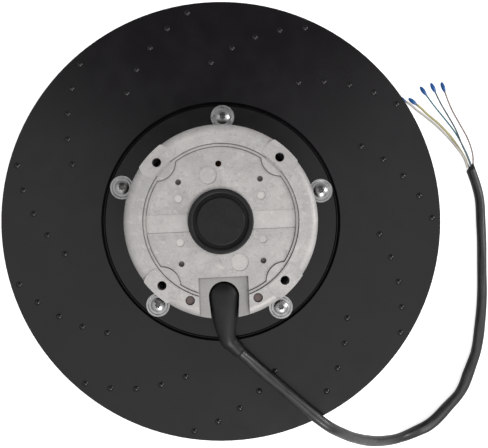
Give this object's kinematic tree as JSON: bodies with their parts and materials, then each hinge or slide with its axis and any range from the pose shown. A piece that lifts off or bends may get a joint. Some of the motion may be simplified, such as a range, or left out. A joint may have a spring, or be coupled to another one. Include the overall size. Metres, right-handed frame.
{
  "type": "plug fan",
  "caption": "Motorised backward-curved centrifugal impeller with an external-rotor motor, die-cast mounting flange and free cable with insulated lead ends.",
  "frame": {"origin": "axis of rotation at the inlet lip, on the floor the fan stands on", "axes": "+Z along the axis of rotation from the inlet to the mounting flange, -Y towards the cable outlet"},
  "size_m": [0.481, 0.441, 0.168],
  "materials": {
    "coated_sheet": "black powder coat",
    "rotor_paint": "black paint",
    "lamination_steel": "stacked sheet edges",
    "cast_aluminium": "as cast",
    "cage_aluminium": "as cast",
    "zinc_steel": "zinc plated",
    "bright_steel": "ground",
    "copper_wire": "enamelled wire",
    "cage_brass": "pressed",
    "insulation": "moulded",
    "black_rubber": "matt",
    "brown_plug": "matt",
    "cable_sleeve": "sleeved leads",
    "lead_brown": "wire insulation",
    "lead_black": "wire insulation",
    "lead_blue": "wire insulation",
    "lead_earth": "wire insulation",
    "lead_white": "wire insulation",
    "end_blue": "moulded"
  },
  "bodies": {
    "stator": {"stator_flange": "cast_aluminium", "stator_core": "lamination_steel", "stator_windings": "copper_wire", "upper_insulator": "insulation", "lower_insulator": "insulation", "upper_outer_race": "bright_steel", "lower_outer_race": "bright_steel", "upper_shields": "bright_steel", "lower_shields": "bright_steel", "bore_circlip": "bright_steel", "preload_spring": "bright_steel", "centre_cap": "black_rubber", "hole_plugs": "brown_plug", "cable_boot": "black_rubber", "power_cable": "cable_sleeve", "lead_brown": "lead_brown", "lead_black": "lead_black", "lead_blue": "lead_blue", "lead_earth": "lead_earth", "lead_white": "lead_white", "lead_end_brown": "end_blue", "lead_end_black": "end_blue", "lead_end_blue": "end_blue", "lead_end_earth": "end_blue", "lead_end_white": "end_blue"},
    "impeller": {"impeller_back_plate": "coated_sheet", "inlet_shroud": "coated_sheet", "blade_01": "coated_sheet", "blade_02": "coated_sheet", "blade_03": "coated_sheet", "blade_04": "coated_sheet", "blade_05": "coated_sheet", "blade_06": "coated_sheet", "blade_07": "coated_sheet", "blade_08": "coated_sheet", "blade_09": "coated_sheet", "blade_10": "coated_sheet", "blade_11": "coated_sheet", "rotor_can": "rotor_paint", "rotor_flange": "rotor_paint", "rotor_core": "lamination_steel", "rotor_cage": "cage_aluminium", "shaft": "bright_steel", "shaft_circlip": "bright_steel", "impeller_screws": "zinc_steel", "screw_washers": "zinc_steel", "upper_inner_race": "bright_steel", "lower_inner_race": "bright_steel"},
    "upper_ball_set": {"upper_balls": "bright_steel", "upper_ball_cage": "cage_brass"},
    "lower_ball_set": {"lower_balls": "bright_steel", "lower_ball_cage": "cage_brass"}
  },
  "joints": [
    {"name": "impeller_spin", "type": "hinge", "parent": "stator", "child": "impeller", "pos_m": [0, 0, 0.09], "axis": [0, 0, 1], "continuous": true},
    {"name": "upper_cage_spin", "type": "hinge", "parent": "stator", "child": "upper_ball_set", "pos_m": [0, 0, 0.124], "axis": [0, 0, 1], "continuous": true},
    {"name": "lower_cage_spin", "type": "hinge", "parent": "stator", "child": "lower_ball_set", "pos_m": [0, 0, 0.056], "axis": [0, 0, 1], "continuous": true}
  ],
  "couplings": [
    {"joint": "upper_cage_spin", "follows": "impeller_spin", "ratio": 0.3816},
    {"joint": "lower_cage_spin", "follows": "impeller_spin", "ratio": 0.3816}
  ]
}
